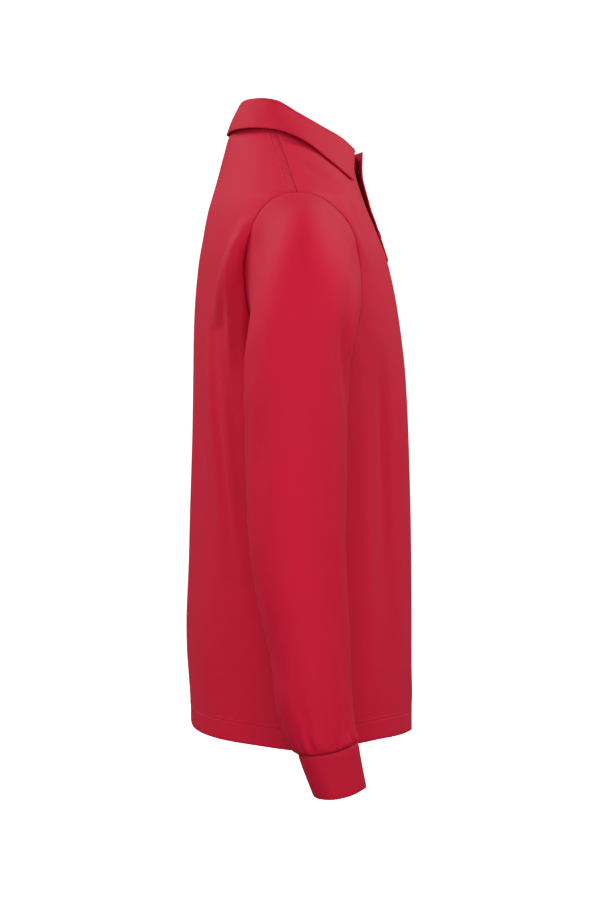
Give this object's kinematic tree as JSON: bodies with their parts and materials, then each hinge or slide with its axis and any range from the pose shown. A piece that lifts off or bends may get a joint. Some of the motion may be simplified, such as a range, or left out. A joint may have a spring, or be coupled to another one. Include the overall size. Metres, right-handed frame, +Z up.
{
  "type": "long-sleeved polo shirt",
  "caption": "Hollow knit polo shirt filled out as worn, with turned-down collar, open placket, long sleeves and rib cuffs, open at neck, hem and wrists",
  "frame": {"origin": "middle of the neck opening, level with the points where the shoulder seams meet the collar, as the wearer's shoulders carry it", "axes": "+Z up, the front faces -Y, the wearer's left is +X"},
  "size_m": [0.6086, 0.2619, 0.7874],
  "materials": {
    "red_cotton": "matte cotton knit",
    "red_rib": "matte rib knit",
    "red_button": "satin dyed to match"
  },
  "bodies": {
    "root": {"front": "red_cotton", "back": "red_cotton", "right_sleeve": "red_cotton", "left_sleeve": "red_cotton", "right_cuff": "red_rib", "left_cuff": "red_rib", "collar": "red_rib", "upper_placket": "red_cotton", "under_placket": "red_cotton", "button_top": "red_button", "button_middle": "red_button", "button_low": "red_button"}
  },
  "joints": []
}
